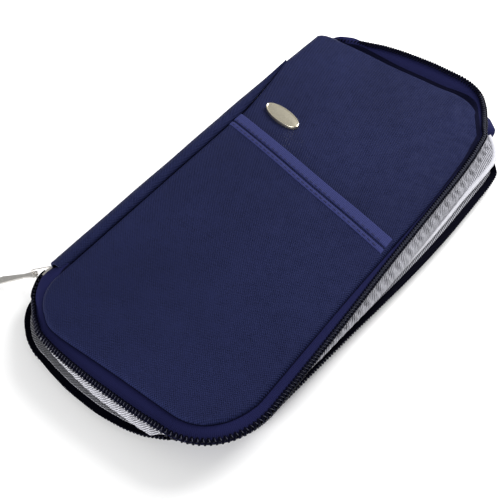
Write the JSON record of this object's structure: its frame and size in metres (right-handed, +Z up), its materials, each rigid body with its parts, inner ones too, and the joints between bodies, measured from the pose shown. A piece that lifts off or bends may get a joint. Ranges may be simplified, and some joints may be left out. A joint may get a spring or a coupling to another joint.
{
  "type": "travel passport wallet",
  "caption": "Zip-round travel wallet with a book-like spine, slanted outer pocket, inner leaf with card slots, and an open zip round three sides.",
  "frame": {"origin": "middle of the back cover's flat underside, on the surface that the wallet lies on", "axes": "+X from the spine to the open side, +Y along the spine to the far short edge, +Z up through the thickness"},
  "size_m": [0.1546, 0.2499, 0.0202],
  "materials": {
    "navy_oxford": "oxford weave, matt",
    "navy_binding": "ribbed grosgrain",
    "navy_tape": "herringbone zip tape",
    "coil_nylon": "nylon coil",
    "grey_lining": "twill lining",
    "foam": "soft foam sheet",
    "mesh_grey": "knitted mesh",
    "badge_gold": "pale satin gold",
    "pull_steel": "satin nickel"
  },
  "bodies": {
    "back_cover": {"back_panel": "navy_oxford", "back_foam": "foam", "back_lining": "grey_lining", "boarding_pass_pocket": "grey_lining", "boarding_pocket_binding": "navy_binding", "passport_pocket": "grey_lining", "passport_pocket_binding": "navy_binding", "pen_sleeve": "mesh_grey", "back_spine_binding": "navy_oxford", "back_zip_tape": "navy_tape", "back_zip_coil": "coil_nylon", "zip_bottom_stop": "pull_steel", "back_top_stop": "pull_steel"},
    "spine": {"spine_panel": "navy_oxford", "spine_lining": "grey_lining"},
    "leaf": {"leaf_panel": "grey_lining", "leaf_spine_binding": "navy_binding", "leaf_pocket": "grey_lining", "card_slot_1": "grey_lining", "card_slot_2": "grey_lining", "card_slot_3": "grey_lining", "card_slot_4": "grey_lining", "card_slot_5": "grey_lining"},
    "front_cover": {"front_panel": "navy_oxford", "front_foam": "foam", "front_lining": "grey_lining", "front_spine_binding": "navy_oxford", "front_pocket": "navy_oxford", "front_pocket_binding": "navy_binding", "front_pocket_hem": "navy_binding", "badge": "badge_gold", "badge_back_plate": "pull_steel", "front_zip_tape": "navy_tape", "front_zip_coil": "coil_nylon", "front_top_stop": "pull_steel", "mesh_pocket": "mesh_grey", "pocket_zip_tape": "navy_tape", "pocket_zip_coil": "coil_nylon"},
    "zip_slider": {"zip_slider": "pull_steel"},
    "pull_link": {"pull_link": "pull_steel"},
    "pull_tab": {"pull_tab": "pull_steel"},
    "pocket_slider": {"pocket_zip_slider": "pull_steel"}
  },
  "joints": [
    {"name": "spine_fold", "type": "hinge", "parent": "back_cover", "child": "spine", "pos_m": [-0.0611, 0, 0.0016], "axis": [0, -1, 0], "range_deg": [0, 80]},
    {"name": "cover_fold", "type": "hinge", "parent": "spine", "child": "front_cover", "pos_m": [-0.0611, 0, 0.018], "axis": [0, -1, 0], "range_deg": [0, 80]},
    {"name": "leaf_turn", "type": "hinge", "parent": "spine", "child": "leaf", "pos_m": [-0.0601, 0, 0.0083], "axis": [0, -1, 0], "range_deg": [-40, 0]},
    {"name": "zip_travel", "type": "hinge", "parent": "back_cover", "child": "zip_slider", "pos_m": [-0.0345, -0.0925, 0.0098], "axis": [0, 0, 1], "range_deg": [0, 44]},
    {"name": "link_swing", "type": "hinge", "parent": "zip_slider", "child": "pull_link", "pos_m": [-0.06322, -0.08846, 0.0098], "axis": [0, 0, 1], "range_deg": [-60, 20]},
    {"name": "tab_swing", "type": "hinge", "parent": "pull_link", "child": "pull_tab", "pos_m": [-0.07123, -0.09387, 0.00721], "axis": [-0.2146, -0.1447, 0.9659], "range_deg": [-30, 30]},
    {"name": "pocket_zip_travel", "type": "slide", "parent": "front_cover", "child": "pocket_slider", "axis": [1, 0, 0], "range_m": [0, 0.072]}
  ],
  "couplings": [
    {"joint": "cover_fold", "follows": "spine_fold", "ratio": 1},
    {"joint": "leaf_turn", "follows": "spine_fold", "ratio": -0.5}
  ]
}
